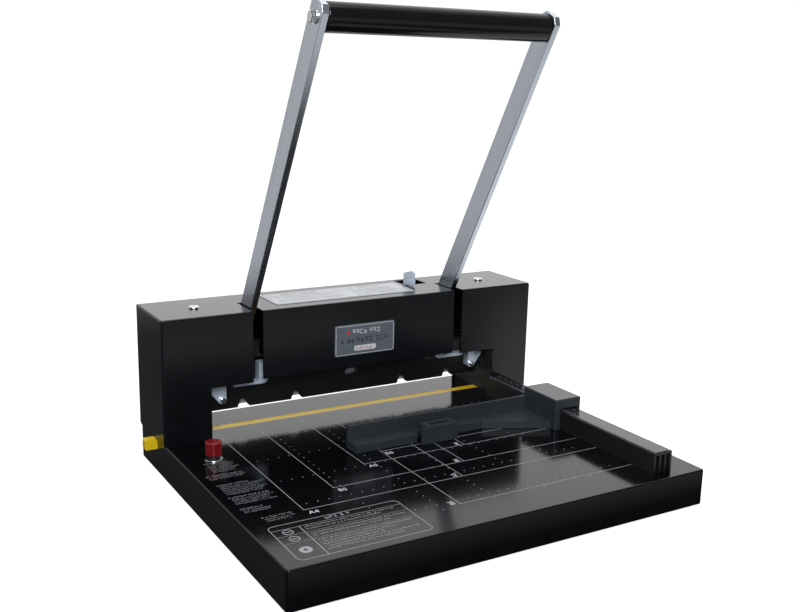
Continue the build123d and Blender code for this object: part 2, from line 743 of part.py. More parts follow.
# Each lug hangs beside an arm slot, and its foot reaches outward under the cover's edge.
lug_in = arm_in - 13.0
lug_out = arm_in - 4.0
lug_front = 110.5
lug_z = (76.0, 97.0)
lug_foot_out = 129.0
lug_foot_top = 79.0
lug_corner = 5.0
edge_find = 0.1
with BuildPart() as clamp_lugs:
    for side, x, foot in zip((-1, 1), both_sides(lug_in, lug_out), both_sides(lug_in, lug_foot_out)):
        inner = head_x + side * lug_in
        slab(x, (lug_front, clamp_front - fit_gap), lug_z)
        slab(foot, (lug_front, clamp_front - fit_gap), (lug_z[0], lug_foot_top))
        fillet(clamp_lugs.edges().filter_by(Axis.Y)
               .filter_by_position(Axis.X, inner - edge_find, inner + edge_find).sort_by(Axis.Z)[0],
               lug_corner)
finish(clamp_lugs, "clamp_lugs")

clamp_spring_pitch = 2.4
clamp_spring_turns = 4
clamp_spring_radius = 3.8
clamp_spring_y = 113.0
clamp_spring_low = clamp_high + 1.2
clamp_spring_wire = 0.6
with BuildPart() as clamp_springs:
    for side in (-1, 1):
        with BuildLine() as clamp_coil:
            Helix(clamp_spring_pitch, clamp_spring_turns * clamp_spring_pitch, clamp_spring_radius,
                  (head_x + side * spring_x, clamp_spring_y, clamp_spring_low))
        with BuildSketch(Plane(clamp_coil.line @ 0, z_dir=clamp_coil.line % 0)):
            Circle(clamp_spring_wire)
        sweep(path=clamp_coil.line)
finish(clamp_springs, "clamp_springs")

# ---------------------------------------------------------------- rail

rail_wall = 2.2
rail_roof = 2.4
rail_edge = 0.7
rail_slots = 3
with BuildPart() as side_rail:
    slab((rail_x, rail_x + rail_width), (rail_front, rail_rear), (bed_top + fit_gap, rail_top))
    fillet(side_rail.faces().sort_by(Axis.Z)[-1].edges().filter_by(Axis.Y), rail_edge)
    open_width = (rail_width - (rail_slots + 1) * rail_wall) / rail_slots
    for step in range(rail_slots):
        low = rail_x + rail_wall + step * (open_width + rail_wall)
        slab((low, low + open_width), (rail_front - over, rail_rear + over),
             (bed_top, rail_top - rail_roof), Mode.SUBTRACT)
finish(side_rail, "side_rail")

rail_bolt_low = bed_top - 6.0
with BuildPart() as rail_bolts:
    for x, y in rail_bolt_at:
        rod_z(x, y, (rail_bolt_low, rail_top - rail_roof - slide_gap), rail_bolt_radius)
finish(rail_bolts, "rail_bolts")

strip_x = (rail_x + 1.5, rail_x + rail_width - 4.0)
strip_inset = 1.0
strip_thick = 0.5
with BuildPart() as scale_strip:
    slab(strip_x, (rail_front + strip_inset, rail_rear - strip_inset),
         (rail_top + fit_gap / 2, rail_top + strip_thick))
finish(scale_strip, "scale_strip")

# ---------------------------------------------------------------- fence

bed_gap = 0.35
block_gap = 0.25
block_corner = 1.6
block_edge = 1.5
block_rear = fence_back
tunnel_top = rail_top + 2.3
tunnel_side_top = rail_top - 6.0
pad_y = (-12.0, 6.0)
pad_z = (bed_top + 6.0, bed_top + 15.0)
pad_thick = 3.0
pad_gap = 0.2
pad_rail_gap = 0.35
with BuildPart() as fence_block:
    slab((block_left, block_right), (block_front, block_rear), (bed_top + bed_gap, block_top))
    fillet(fence_block.edges().filter_by(Axis.Z), block_corner)
    fillet(fence_block.faces().sort_by(Axis.Z)[-1].edges(), block_edge)
    slab((rail_x - block_gap, rail_x + rail_width + block_gap), (block_front - over, block_rear + over),
         (bed_top, tunnel_top), Mode.SUBTRACT)
    slab((rail_x + rail_width - over, block_right + over), (block_front - over, block_rear + over),
         (bed_top, tunnel_side_top), Mode.SUBTRACT)
    slab((rail_x - pad_thick, rail_x), pad_y, pad_z, Mode.SUBTRACT)
finish(fence_block, "fence_block")

with BuildPart() as brake_pad:
    slab((rail_x - pad_thick + pad_gap / 2, rail_x - pad_rail_gap),
         (pad_y[0] + pad_gap, pad_y[1] - pad_gap), (pad_z[0] + pad_gap, pad_z[1] - pad_gap))
finish(brake_pad, "brake_pad")

fence_thick = 3.4
fence_edge = 0.8
grip_left = 9.0
grip_right = 48.0
grip_gap = 0.6
grip_bay = fence_back - 9.0
ramp_left = 84.0
ramp_front = -24.0
foot_step = foot_front + 4.0
with BuildPart() as fence_plate:
    slab((fence_left, block_left - fit_gap), (fence_back - fence_thick, fence_back),
         (bed_top + bed_gap, fence_top))
    with BuildSketch(Plane.XY.offset(bed_top + bed_gap)):
        with BuildLine():
            Polyline((fence_left, foot_front), (grip_left - grip_gap, foot_front),
                     (grip_left - grip_gap, grip_bay), (grip_right + grip_gap, grip_bay),
                     (grip_right + grip_gap, foot_step), (ramp_left, foot_step),
                     (block_left - fit_gap, ramp_front), (block_left - fit_gap, fence_back - fence_thick),
                     (fence_left, fence_back - fence_thick), close=True)
        make_face()
    extrude(amount=foot_top - bed_top - bed_gap)
    fillet(fence_plate.faces().sort_by(Axis.Z)[-1].edges(), fence_edge)
finish(fence_plate, "fence_plate")

# The grip is a pinch lever in front of the plate: it slides back to free the brake.
grip_front = -6.0
grip_rear = 8.6
grip_wall = 2.4
grip_top = 50.4
grip_front_top = 50.0
grip_roof = grip_top - grip_wall
grip_side_low = bed_top + 6.0
grip_cap_left = grip_left + 5.0
grip_hole_x = (grip_left + 12.0, grip_right - 6.0)
grip_hole_y = (grip_front + 4.5, 5.0)
with BuildPart() as fence_grip:
    slab((grip_left, grip_right), (grip_front, grip_front + grip_wall),
         (bed_top + bed_gap, grip_front_top))
    slab((grip_cap_left, grip_right), (grip_front, grip_rear), (grip_roof, grip_top))
    for x in (grip_cap_left, grip_right - grip_wall):
        slab((x, x + grip_wall), (grip_front, grip_rear), (grip_side_low, grip_roof + over))
    slab(grip_hole_x, grip_hole_y, (grip_roof - over, grip_top + over), Mode.SUBTRACT)
finish(fence_grip, "fence_grip")
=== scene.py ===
import json
import random
from math import cos, pi, radians, sin

import bmesh
import bpy
from mathutils import Matrix, Vector


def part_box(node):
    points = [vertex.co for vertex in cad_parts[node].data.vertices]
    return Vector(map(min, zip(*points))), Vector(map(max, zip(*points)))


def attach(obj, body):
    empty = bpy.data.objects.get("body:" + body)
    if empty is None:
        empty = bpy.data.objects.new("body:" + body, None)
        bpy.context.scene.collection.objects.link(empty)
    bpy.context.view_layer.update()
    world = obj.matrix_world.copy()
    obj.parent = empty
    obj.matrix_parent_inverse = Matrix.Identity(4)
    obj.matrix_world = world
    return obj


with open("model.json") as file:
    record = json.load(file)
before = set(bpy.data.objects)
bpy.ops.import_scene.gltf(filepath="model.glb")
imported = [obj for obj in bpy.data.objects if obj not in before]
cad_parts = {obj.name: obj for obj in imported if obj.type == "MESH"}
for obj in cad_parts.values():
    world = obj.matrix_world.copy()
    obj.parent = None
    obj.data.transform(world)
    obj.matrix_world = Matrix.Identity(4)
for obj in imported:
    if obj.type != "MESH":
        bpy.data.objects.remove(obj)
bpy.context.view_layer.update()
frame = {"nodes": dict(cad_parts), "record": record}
nodes = frame["nodes"]

# Places on the cutter, in metres, from the boxes of its CAD nodes
MM = 0.001
BED_HIGH = Vector(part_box("bed_tray")[1])
RAIL_LOW = Vector(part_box("side_rail")[0])
STRIP_LOW, STRIP_HIGH = (Vector(corner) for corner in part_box("scale_strip"))
LABEL_LOW, LABEL_HIGH = (Vector(corner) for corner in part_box("top_label"))
BADGE_LOW, BADGE_HIGH = (Vector(corner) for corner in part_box("badge_plate"))
CLAMP_HIGH = Vector(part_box("clamp_bar")[1])
CUT_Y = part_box("blade")[0][1]
ARM_LEAN = radians(29.64)

# Print: its height above a face, and where the underside of each mark lies
INK_THICK = 0.05 * MM
INK_FOOT = 0.2 * INK_THICK


# ---------------------------------------------------------------- materials

PATCH_DETAIL = 4.0
GRAIN_DETAIL = 6.0
GRAIN_ROUGH = 0.65
NOISE_SHARE = 0.5
COLOUR_RANGE = (0.35, 0.65)
COAT_ROUGH = 0.06


def link(tree, source, target):
    tree.links.new(source, target)


def noise(tree, mapping, scale, detail, rough=0.55):
    """A noise texture on the object's own coordinates."""
    texture = tree.nodes.new("ShaderNodeTexNoise")
    texture.inputs["Scale"].default_value = scale
    texture.inputs["Detail"].default_value = detail
    texture.inputs["Roughness"].default_value = rough
    link(tree, mapping.outputs["Vector"], texture.inputs["Vector"])
    return texture.outputs["Fac"]


def spread(tree, value, low, high, start=0.3, end=0.7):
    """Maps a noise value to a range."""
    ranged = tree.nodes.new("ShaderNodeMapRange")
    for name, number in (("From Min", start), ("From Max", end), ("To Min", low), ("To Max", high)):
        ranged.inputs[name].default_value = number
    link(tree, value, ranged.inputs["Value"])
    return ranged.outputs["Result"]


def join(tree, operation, one, two):
    """Two values put together by a math node."""
    joined = tree.nodes.new("ShaderNodeMath")
    joined.operation = operation
    link(tree, one, joined.inputs[0])
    link(tree, two, joined.inputs[1])
    return joined.outputs[0]


def surface(name, dark, light, rough, metal=0.0, coat=0.0, patch=25.0, grain=700.0, bump=0.05,
            stretch=(1.0, 1.0, 1.0), turn=0.0, ior=1.5, anisotropic=0.0, depth=0.02):
    """A procedural surface: colour varies from dark to light in patches, roughness between its two
    values with a finer noise, and the grain stands in the bump. Stretch makes the grain run."""
    made = bpy.data.materials.new(name)
    made.use_nodes = True
    tree = made.node_tree
    shader = tree.nodes["Principled BSDF"]
    place = tree.nodes.new("ShaderNodeTexCoord")
    mapping = tree.nodes.new("ShaderNodeMapping")
    mapping.vector_type = "TEXTURE"
    mapping.inputs["Rotation"].default_value = (turn, 0.0, 0.0)
    mapping.inputs["Scale"].default_value = stretch
    link(tree, place.outputs["Object"], mapping.inputs["Vector"])
    patches = noise(tree, mapping, patch, PATCH_DETAIL)
    grains = noise(tree, mapping, grain, GRAIN_DETAIL, GRAIN_ROUGH)
    colour = tree.nodes.new("ShaderNodeMix")
    colour.data_type = "RGBA"
    colour.inputs["A"].default_value = (*dark, 1.0)
    colour.inputs["B"].default_value = (*light, 1.0)
    both = tree.nodes.new("ShaderNodeMath")
    both.operation = "MULTIPLY_ADD"
    both.inputs[1].default_value = NOISE_SHARE
    link(tree, grains, both.inputs[0])
    half = tree.nodes.new("ShaderNodeMath")
    half.operation = "MULTIPLY"
    half.inputs[1].default_value = NOISE_SHARE
    link(tree, patches, half.inputs[0])
    link(tree, half.outputs[0], both.inputs[2])
    link(tree, spread(tree, both.outputs[0], 0.0, 1.0, *COLOUR_RANGE), colour.inputs["Factor"])
    link(tree, colour.outputs["Result"], shader.inputs["Base Color"])
    link(tree, spread(tree, grains, rough[0], rough[1]), shader.inputs["Roughness"])
    raised = tree.nodes.new("ShaderNodeBump")
    raised.inputs["Strength"].default_value = bump
    raised.inputs["Distance"].default_value = depth * MM
    link(tree, grains, raised.inputs["Height"])
    link(tree, raised.outputs["Normal"], shader.inputs["Normal"])
    shader.inputs["Metallic"].default_value = metal
    shader.inputs["Coat Weight"].default_value = coat
    shader.inputs["Coat Roughness"].default_value = COAT_ROUGH
    shader.inputs["IOR"].default_value = ior
    shader.inputs["Anisotropic"].default_value = anisotropic
    return made


ALONG_X = (30.0, 1.0, 1.0)
ALONG_Y = (1.0, 30.0, 1.0)
ALONG_Z = (1.0, 1.0, 30.0)

looks = {
    "bed_enamel": surface("bed_enamel", (0.0012, 0.0013, 0.0018), (0.0022, 0.0024, 0.0032), (0.10, 0.14),
                          patch=9.0, grain=260.0, bump=0.03, depth=0.03, ior=1.36),
    "head_enamel": surface("head_enamel", (0.0026, 0.0030, 0.0040), (0.0044, 0.0050, 0.0066),
                           (0.18, 0.24), patch=12.0, grain=900.0, bump=0.05, depth=0.03, ior=1.4),
    "clamp_enamel": surface("clamp_enamel", (0.004, 0.004, 0.005), (0.008, 0.008, 0.009), (0.30, 0.42),
                            patch=20.0, grain=900.0, bump=0.10, depth=0.03),
    # Arm steel: the grey is the metal's own; the blue in the colour is a painted reflection of bluish
    # light on the arms' faces.
    "arm_steel_painted_tint": surface("arm_steel_painted_tint", (0.50, 0.54, 0.60), (0.62, 0.66, 0.73), (0.18, 0.30), metal=1.0,
                         patch=60.0, grain=1400.0, bump=0.03, stretch=ALONG_Z, turn=ARM_LEAN,
                         anisotropic=0.35),
    "blade_steel": surface("blade_steel", (0.52, 0.57, 0.63), (0.68, 0.73, 0.79), (0.16, 0.30),
                           metal=0.45, patch=40.0, grain=1200.0, bump=0.12, stretch=ALONG_X,
                           anisotropic=0.4),
    # Brackets, lugs and lock lever: the grey is the steel's own; the pale blue and the brightness in the
    # colour are a painted reflection of bluish light.
    "bracket_steel_painted_sheen": surface("bracket_steel_painted_sheen", (0.52, 0.61, 0.72), (0.68, 0.77, 0.88), (0.22, 0.38),
                             metal=0.35, patch=80.0, grain=1100.0, bump=0.14, stretch=ALONG_X),
    "dark_steel": surface("dark_steel", (0.012, 0.012, 0.013), (0.035, 0.035, 0.037), (0.40, 0.58),
                          metal=0.4, patch=50.0, grain=800.0, bump=0.20, depth=0.04),
    "spring_steel": surface("spring_steel", (0.30, 0.30, 0.31), (0.48, 0.48, 0.50), (0.22, 0.38),
                            metal=1.0, patch=90.0, grain=1500.0, bump=0.12),
    "chrome": surface("chrome", (0.66, 0.67, 0.69), (0.80, 0.81, 0.83), (0.06, 0.16), metal=1.0,
                      patch=120.0, grain=1500.0, bump=0.05),
    "bronze": surface("bronze", (0.42, 0.26, 0.11), (0.60, 0.40, 0.19), (0.28, 0.44), metal=1.0,
                      patch=90.0, grain=1200.0, bump=0.15),
    "grip_black": surface("grip_black", (0.003, 0.003, 0.0035), (0.006, 0.006, 0.007), (0.11, 0.17),
                          ior=1.35, patch=30.0, grain=1000.0, bump=0.05, stretch=ALONG_X),
    "stick_yellow": surface("stick_yellow", (0.66, 0.43, 0.004), (0.80, 0.55, 0.008), (0.36, 0.48),
                            patch=45.0, grain=1400.0, bump=0.15, stretch=(4.0, 1.0, 1.0)),
    "knob_red": surface("knob_red", (0.13, 0.0015, 0.004), (0.21, 0.003, 0.007), (0.20, 0.32),
                        coat=0.3, patch=150.0, grain=2200.0, bump=0.12),
    "knob_black": surface("knob_black", (0.008, 0.008, 0.009), (0.016, 0.016, 0.017), (0.24, 0.36),
                          patch=150.0, grain=2000.0, bump=0.10),
    "fence_grey": surface("fence_grey", (0.019, 0.022, 0.0265), (0.028, 0.032, 0.038), (0.26, 0.38),
                          patch=30.0, grain=1500.0, bump=0.22, depth=0.03),
    "rail_black": surface("rail_black", (0.008, 0.008, 0.0085), (0.014, 0.014, 0.015), (0.24, 0.36),
                          metal=0.15, patch=60.0, grain=900.0, bump=0.14, stretch=ALONG_Y),
    "scale_film": surface("scale_film", (0.012, 0.012, 0.014), (0.024, 0.024, 0.027), (0.10, 0.18),
                          patch=60.0, grain=1500.0, bump=0.06),
    "label_film": surface("label_film", (0.38, 0.39, 0.415), (0.47, 0.48, 0.505), (0.34, 0.46),
                          metal=0.15, patch=60.0, grain=1800.0, bump=0.06),
    "badge_film": surface("badge_film", (0.085, 0.10, 0.118), (0.125, 0.142, 0.162), (0.34, 0.48),
                          metal=0.1, patch=90.0, grain=2200.0, bump=0.08, stretch=(6.0, 1.0, 1.0)),
    "foot_rubber": surface("foot_rubber", (0.012, 0.012, 0.012), (0.028, 0.028, 0.028), (0.60, 0.85),
                           patch=120.0, grain=1500.0, bump=0.4, depth=0.06),
    "white_ink": surface("white_ink", (0.42, 0.43, 0.45), (0.66, 0.67, 0.69), (0.35, 0.55),
                         patch=300.0, grain=2600.0, bump=0.05),
    "line_ink": surface("line_ink", (0.20, 0.205, 0.22), (0.32, 0.325, 0.34), (0.35, 0.55),
                        patch=300.0, grain=2600.0, bump=0.05),
    "grey_ink": surface("grey_ink", (0.13, 0.135, 0.145), (0.22, 0.225, 0.24), (0.35, 0.55),
                        patch=300.0, grain=2600.0, bump=0.05),
    "dark_ink": surface("dark_ink", (0.010, 0.010, 0.012), (0.025, 0.025, 0.028), (0.35, 0.55),
                        patch=300.0, grain=2600.0, bump=0.05),
    "red_ink": surface("red_ink", (0.45, 0.02, 0.03), (0.62, 0.05, 0.06), (0.35, 0.55),
                       patch=300.0, grain=2600.0, bump=0.05),
}

look_of_slot = {
    "black_gloss": "head_enamel", "steel": "arm_steel_painted_tint", "blade_steel": "blade_steel",
    "dark_steel": "dark_steel", "spring_steel": "spring_steel", "chrome": "chrome", "bronze": "bronze",
    "grip_black": "grip_black", "stick_yellow": "stick_yellow", "knob_red": "knob_red",
    "knob_black": "knob_black", "fence_grey": "fence_grey", "rail_black": "rail_black",
    "scale_grey": "scale_film", "label_grey": "label_film", "badge_grey": "badge_film",
    "foot_rubber": "foot_rubber", "pad_rubber": "foot_rubber",
}
look_of_node = {
    "bed_tray": "bed_enamel", "clamp_bar": "clamp_enamel", "clamp_end_brackets": "bracket_steel_painted_sheen",
    "clamp_lugs": "bracket_steel_painted_sheen", "lock_lever": "bracket_steel_painted_sheen",
}


def dress_nodes():
    """Every CAD node takes the look of its material slot, or one of its own."""
    slot_of = {part["node"]: part["material_slot"] for part in frame["record"]["subparts"]}
    for name, node in nodes.items():
        look = looks[look_of_node.get(name, look_of_slot[slot_of[name]])]
        if not node.data.materials:
            node.data.materials.append(look)
        for index in range(len(node.data.materials)):
            node.data.materials[index] = look


# ---------------------------------------------------------------- printed marks

FONT_SCALE = 1.4
LETTER_HALF = 0.4 * INK_THICK

# Blind print, as parts of a sign's height: strokes, stems, and the gaps between signs and words
STROKE_WIDE = 0.17
STROKE_LEVELS = (0.0, 0.42, 0.84)
STEM_PLACES = (0.0, 0.4, 0.75)
STEM_TOP = 0.82
SIGN_WIDE = (0.65, 0.95)
SIGN_GAPS = (0.18, 0.18, 0.18, 0.7)


class Print:
    """Marks printed on one flat face, gathered in one mesh. Each is a closed prism, a hair thick.
    Points are in millimetres on the face: to_world turns (across, up, out) into a place in metres."""

    def __init__(self, to_world):
        self.mesh = bmesh.new()
        self.to_world = to_world

    def corner(self, point, out):
        return self.mesh.verts.new(self.to_world @ Vector((point[0] * MM, point[1] * MM, out)))

    def patch(self, points):
        """One closed prism on an outline that turns anticlockwise."""
        low = [self.corner(point, INK_FOOT) for point in points]
        high = [self.corner(point, INK_THICK) for point in points]
        self.mesh.faces.new(high)
        self.mesh.faces.new(list(reversed(low)))
        for here in range(len(points)):
            there = (here + 1) % len(points)
            self.mesh.faces.new((low[here], low[there], high[there], high[here]))

    def bar(self, left, bottom, right, top):
        self.patch([(left, bottom), (right, bottom), (right, top), (left, top)])

    def loop(self, outer, inner):
        """A closed band between two outlines with the same number of points."""
        rims = [[self.corner(point, out) for point in outline]
                for outline, out in ((outer, INK_THICK), (inner, INK_THICK),
                                     (inner, INK_FOOT), (outer, INK_FOOT))]
        for here in range(len(outer)):
            there = (here + 1) % len(outer)
            for step in range(4):
                one, two = rims[step], rims[(step + 1) % 4]
                self.mesh.faces.new((one[here], one[there], two[there], two[here]))

    def ring(self, across, up, radius, width, turns=28):
        angles = [2 * pi * step / turns for step in range(turns)]
        self.loop([(across + radius * cos(a), up + radius * sin(a)) for a in angles],
                  [(across + (radius - width) * cos(a), up + (radius - width) * sin(a)) for a in angles])

    def dot(self, across, up, radius, turns=10):
        angles = [2 * pi * step / turns for step in range(turns)]
        self.patch([(across + radius * cos(a), up + radius * sin(a)) for a in angles])

    def border(self, left, bottom, right, top, round_by, width):
        """A rounded rectangle drawn as a line of the given width."""
        self.loop(rounded(left, bottom, right, top, round_by),
                  rounded(left + width, bottom + width, right - width, top - width, round_by - width))

    def letters(self, words, across, up, height, turn=0.0):
        """Plain characters from Blender's own font, standing on the point given."""
        curve = bpy.data.curves.new("letters", "FONT")
        curve.body = words
        curve.size = height * FONT_SCALE * MM
        curve.extrude = LETTER_HALF
        curve.resolution_u = 3
        text = bpy.data.objects.new("letters", curve)
        flat = bpy.data.meshes.new_from_object(text)
        place = Matrix.Translation((across * MM, up * MM, INK_THICK - LETTER_HALF))
        flat.transform(self.to_world @ place @ Matrix.Rotation(turn, 4, "Z"))
        self.mesh.from_mesh(flat)
        bpy.data.objects.remove(text)
        bpy.data.meshes.remove(flat)
        bpy.data.curves.remove(curve)

    def blind_text(self, left, up, width, height, dice):
        """A row of small strokes in the rhythm of print, with no readable character."""
        across = left
        stroke = height * STROKE_WIDE
        while across < left + width - height:
            wide = height * dice.uniform(*SIGN_WIDE)
            for level in dice.sample(STROKE_LEVELS, 2):
                self.bar(across, up + height * level, across + wide, up + height * level + stroke)
            stem = across + dice.choice(STEM_PLACES) * (wide - stroke)
            self.bar(stem, up + stroke, stem + stroke, up + height * STEM_TOP)
            across += wide + height * dice.choice(SIGN_GAPS)

    def build(self, name, look, body):
        bmesh.ops.recalc_face_normals(self.mesh, faces=self.mesh.faces)
        mesh = bpy.data.meshes.new(name)
        self.mesh.to_mesh(mesh)
        self.mesh.free()
        mesh.materials.append(looks[look])
        piece = bpy.data.objects.new(name, mesh)
        bpy.context.scene.collection.objects.link(piece)
        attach(piece, body)
        return piece


def rounded(left, bottom, right, top, radius, steps=6):
    """The outline of a rectangle with round corners, anticlockwise."""
    quarter = 0.5 * pi
    centres = ((right - radius, top - radius), (left + radius, top - radius),
               (left + radius, bottom + radius), (right - radius, bottom + radius))
    return [(x + radius * cos(quarter * (corner + step / steps)),
             y + radius * sin(quarter * (corner + step / steps)))
            for corner, (x, y) in enumerate(centres) for step in range(steps + 1)]


def on_top(height, x=0.0, y=0.0):
    """Marks that lie on a level face: across is X and up is Y."""
    return Matrix.Translation((x, y, height))


def on_front(y):
    """Marks on a face that looks forward: across is X and up is Z."""
    return Matrix.Translation((0.0, y, 0.0)) @ Matrix.Rotation(radians(90), 4, "X")


# Paper sizes in millimetres: each pair of lines meets at the sheet's far corner from the rail
# and the cut line. A sheet lies with its first side along the blade.
PAPER = [("A4", 297.0, 210.0), ("B5", 257.0, 182.0), ("A5", 210.0, 148.0), ("B6", 182.0, 128.0)]
PAPER_TURNED = [("B5", 182.0, 257.0), ("A5", 148.0, 210.0), ("B6", 128.0, 182.0), ("A6", 105.0, 148.0)]
LINE = 0.6
LINE_START = -9.0
LINE_TO_RAIL = -0.6
DOT_RADIUS = 0.55
DOT_STEP = 10
DOT_ROW_STEP = 50
DOT_ROWS = range(DOT_ROW_STEP, 251, DOT_ROW_STEP)


def print_bed():
    """Paper-size lines, dots every 10 mm and size names. The origin is the corner where the rail's
    face meets the cut line, with up towards the rear."""
    marks = Print(on_top(BED_HIGH.z, RAIL_LOW.x, CUT_Y))
    sheets = PAPER + PAPER_TURNED
    for wide in dict.fromkeys(wide for name, wide, deep in sheets):
        reach = max(deep for name, other, deep in sheets if other == wide)
        marks.bar(-wide - LINE / 2, -reach - LINE / 2, -wide + LINE / 2, LINE_START)
    for deep in dict.fromkeys(deep for name, wide, deep in sheets):
        reach = max(wide for name, wide, other in sheets if other == deep)
        marks.bar(-reach + LINE / 2, -deep - LINE / 2, LINE_TO_RAIL, -deep + LINE / 2)
    marks.build("bed_size_lines", "line_ink", "frame")

    dots = Print(on_top(BED_HIGH.z, RAIL_LOW.x, CUT_Y))
    for row in DOT_ROWS:
        for step in range(2 * DOT_STEP, 291, DOT_STEP):
            dots.dot(-step, -row, DOT_RADIUS)
    for column in DOT_ROWS:
        for step in range(DOT_STEP, 261, DOT_STEP):
            if step % DOT_ROW_STEP:
                dots.dot(-column, -step, DOT_RADIUS)
    dots.build("bed_dots", "line_ink", "frame")

    names = Print(on_top(BED_HIGH.z, RAIL_LOW.x, CUT_Y))
    for name, wide, deep in PAPER:
        names.letters(name, -wide + 1.0, -deep - 9.0, 5.4)
    for name, wide, deep in PAPER_TURNED:
        names.letters(name, -wide - 3.4, -deep + 1.0, 4.6, radians(90))
    names.build("bed_size_names", "white_ink", "frame")


def print_instructions():
    """Blind print to the left of the size lines: a column of short paragraphs. Each block has its
    left end, its height on the bed, the width of its heading, a number of rows and their width."""
    dice = random.Random(11)
    marks = Print(on_top(BED_HIGH.z, RAIL_LOW.x, CUT_Y))
    blocks = [(-334, -87.5, 22, 6, 26), (-342, -115.0, 34, 2, 32), (-341, -137.0, 30, 6, 38),
              (-341, -164.0, 36, 4, 36), (-341, -188.0, 22, 2, 25), (-332, -210.0, 26, 2, 25)]
    heading_high, sign_high, indent, under_heading, row_step, ragged = 2.1, 1.6, 1.5, 3.6, 3.2, 3
    for left, up, width, count, reach in blocks:
        marks.blind_text(left, up, width, heading_high, dice)
        for row in range(count):
            marks.blind_text(left + indent, up - under_heading - row_step * row,
                             reach - ragged * (row % 3), sign_high, dice)
    marks.build("bed_instructions", "grey_ink", "frame")


def print_panel():
    """A framed panel near the bed's front left corner: plain round symbols and blind print."""
    dice = random.Random(23)
    marks = Print(on_top(BED_HIGH.z, RAIL_LOW.x, CUT_Y))
    left, right, top, bottom, divide, head = -336.0, -224.0, -226.5, -286.0, -312.7, -234.6
    frame_wide, inset, divider, rule = 0.6, 0.7, 0.4, 0.25
    marks.border(left, bottom, right, top, 5.0, frame_wide)
    marks.bar(left + inset, head - divider, right - inset, head)
    marks.bar(divide - 0.35, bottom + inset, divide + 0.35, head - divider)
    marks.blind_text(-289, -232.2, 24, 3.6, dice)
    for level in (-246.0, -258.6):
        marks.bar(left + inset, level - rule, divide - divider, level)
        marks.bar(divide + divider, level - rule, right - inset, level)
    for level, count in ((-238.6, 2), (-250.4, 2), (-263.0, 5)):
        for row in range(count):
            width = 80 - 14 * (row % 3)
            marks.blind_text(divide + 3, level - 3.9 * row, width, 1.7, dice)
    symbol, symbol_radius, symbol_bar = -324.2, 4.3, 2.8
    for up in (-240.3, -252.4):
        marks.ring(symbol, up, symbol_radius, 0.8)
        marks.bar(symbol - symbol_bar, up - 0.4, symbol + symbol_bar, up + 0.4)
    marks.ring(-324.4, -272.0, 5.0, 3.4)
    marks.build("bed_panel", "line_ink", "frame")


def print_rail_scale():
    """Millimetre ticks along the rail, counted from the cut line, with a number each centimetre."""
    marks = Print(on_top(STRIP_HIGH.z, STRIP_LOW.x, CUT_Y))
    tick_start, tick_half, number_high = 0.3, 0.11, 3.0
    number_at = (STRIP_HIGH.x - STRIP_LOW.x) / MM - 5.4
    nearest = int((CUT_Y - STRIP_HIGH.y) / MM) + 2
    farthest = int((CUT_Y - STRIP_LOW.y) / MM)
    for away in range(nearest, farthest):
        length = 5.6 if away % 10 == 0 else 4.2 if away % 5 == 0 else 2.6
        marks.bar(tick_start, -away - tick_half, tick_start + length, -away + tick_half)
        if away % 10 == 0:
            marks.letters(str(away // 10), number_at, -away - number_high / 2, number_high)
    marks.build("rail_scale_marks", "grey_ink", "frame")


def print_top_label():
    """Two framed fields of blind print on the head's top."""
    dice = random.Random(31)
    marks = Print(on_top(LABEL_HIGH.z))
    low_x, high_x = LABEL_LOW.x / MM, LABEL_HIGH.x / MM
    low_y, high_y = LABEL_LOW.y / MM, LABEL_HIGH.y / MM
    split = low_x + 0.62 * (high_x - low_x)
    margin, half_gap, round_by, frame_wide = 2, 1.5, 3.0, 0.6
    heading_at, heading_high, rows_at, row_step, sign_high = high_y - 10, 5.0, high_y - 18, 4.9, 2.2
    marks.border(low_x + margin, low_y + margin, split - half_gap, high_y - margin, round_by, frame_wide)
    marks.border(split + half_gap, low_y + margin, high_x - margin, high_y - margin, round_by, frame_wide)
    marks.bar(low_x + 6, high_y - 12.4, split - 6, high_y - 11.8)
    marks.blind_text(low_x + 20, heading_at, 44, heading_high, dice)
    for row in range(5):
        marks.blind_text(low_x + 8, rows_at - row_step * row, 74 - 8 * (row % 3), sign_high, dice)
    marks.blind_text(split + 12, heading_at, 26, heading_high, dice)
    for row in range(5):
        marks.blind_text(split + 6, rows_at - row_step * row, 42 - 5 * (row % 2), sign_high, dice)
    marks.build("top_label_print", "grey_ink", "frame")


def print_badge():
    """A pale edge line and rows of blind print on the badge."""
    dice = random.Random(47)
    low_x, high_x = BADGE_LOW.x / MM, BADGE_HIGH.x / MM
    low_z, high_z = BADGE_LOW.z / MM, BADGE_HIGH.z / MM
    middle = (low_x + high_x) / 2
    pale = Print(on_front(BADGE_LOW.y))
    pale.border(low_x + 0.9, low_z + 0.9, high_x - 0.9, high_z - 0.9, 1.6, 0.5)
    pale.blind_text(middle - 14, high_z - 9.6, 32, 4.4, dice)
    pale.patch(rounded(middle - 12, low_z + 4.2, middle + 12, low_z + 9.4, 1.4))
    pale.build("badge_pale_print", "white_ink", "frame")
    dark = Print(on_front(BADGE_LOW.y))
    dark.blind_text(middle - 27, low_z + 12.6, 56, 4.8, dice)
    dark.build("badge_dark_print", "dark_ink", "frame")
    red = Print(on_front(BADGE_LOW.y - INK_THICK))
    red.dot(middle - 18.5, high_z - 7.6, 1.9, 16)
    red.blind_text(middle - 9.6, low_z + 5.6, 20, 2.2, dice)
    red.build("badge_red_print", "red_ink", "frame")


def print_clamp_note():
    """One short pale line of blind print on the clamp, near its right end."""
    dice = random.Random(5)
    plate_thick, note_x, note_z = 6.0, CLAMP_HIGH.x / MM - 66.0, 74.2
    marks = Print(on_front(CLAMP_HIGH.y - plate_thick * MM))
    marks.blind_text(note_x, note_z, 21.0, 1.8, dice)
    marks.build("clamp_note", "line_ink", "clamp")


# ---------------------------------------------------------------- stage, light and camera

FLOOR_HALF = 30.0
FLOOR_SEEN = 0.8


